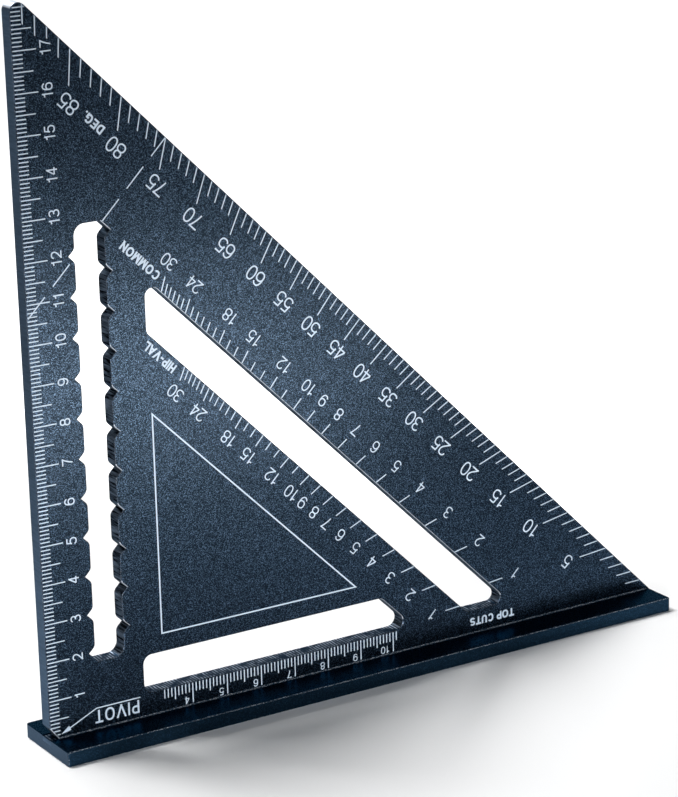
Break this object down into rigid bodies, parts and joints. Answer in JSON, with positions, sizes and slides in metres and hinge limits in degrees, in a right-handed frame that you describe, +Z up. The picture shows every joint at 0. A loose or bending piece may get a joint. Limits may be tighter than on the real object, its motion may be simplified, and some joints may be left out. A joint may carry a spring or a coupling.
{
  "type": "rafter square",
  "caption": "Right-triangle marking square with a notched scribing slot, ruler and rafter slots, printed scales and a flat T fence along one leg.",
  "frame": {"origin": "middle of the underside of the fence", "axes": "+Z up along the straight edge of the blade, +X along the fence from the pivot, -Y out of the printed front face"},
  "size_m": [0.1842, 0.023, 0.185],
  "materials": {
    "blade_anodised": "bead-blasted, dark blue anodised",
    "fence_anodised": "bead-blasted, dark blue anodised",
    "screw_steel": "plain",
    "white_print": "matt print"
  },
  "bodies": {
    "root": {"blade": "blade_anodised", "fence": "fence_anodised", "fence_screws": "screw_steel", "fence_dowels": "screw_steel", "edge_graduations": "white_print", "ruler_graduations": "white_print", "degree_graduations": "white_print", "common_graduations": "white_print", "hip_valley_graduations": "white_print", "panel_border": "white_print", "dashed_line": "white_print", "pivot_arrow": "white_print"}
  },
  "joints": []
}
